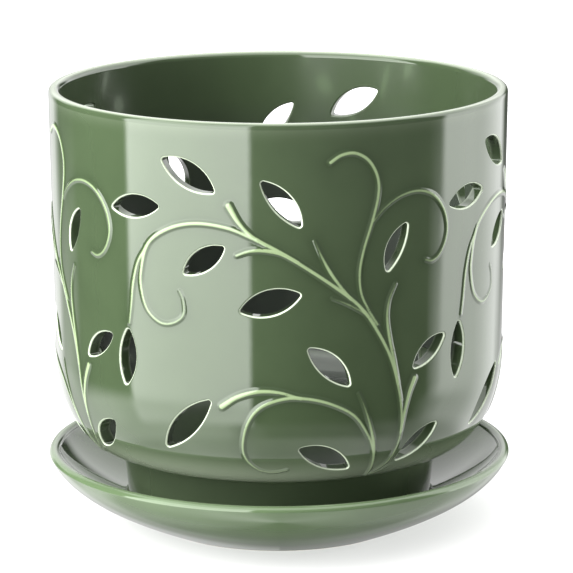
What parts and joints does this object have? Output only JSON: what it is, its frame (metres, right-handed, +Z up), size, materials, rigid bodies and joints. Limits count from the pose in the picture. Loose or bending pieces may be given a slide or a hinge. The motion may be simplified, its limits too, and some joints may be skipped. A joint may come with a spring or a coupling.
{
  "type": "orchid pot with slots",
  "caption": "Glazed ceramic orchid pot with leaf-shaped air slots, a raised leafy vine and a loose matching saucer.",
  "frame": {"origin": "on the table under the middle of the saucer", "axes": "+Z up through the pot, -Y towards the front of the picture, +X to its right"},
  "size_m": [0.1688, 0.1688, 0.16],
  "materials": {
    "pot_glaze": "glossy translucent green glaze, paler on edges and raised lines",
    "saucer_glaze": "glossy translucent green glaze, paler on the lip"
  },
  "bodies": {
    "saucer": {"saucer": "saucer_glaze"},
    "pot": {"orchid_pot": "pot_glaze"}
  },
  "joints": [
    {"name": "pot_lift", "type": "slide", "parent": "saucer", "child": "pot", "axis": [0, 0, 1], "range_m": [0, 0.06]}
  ]
}
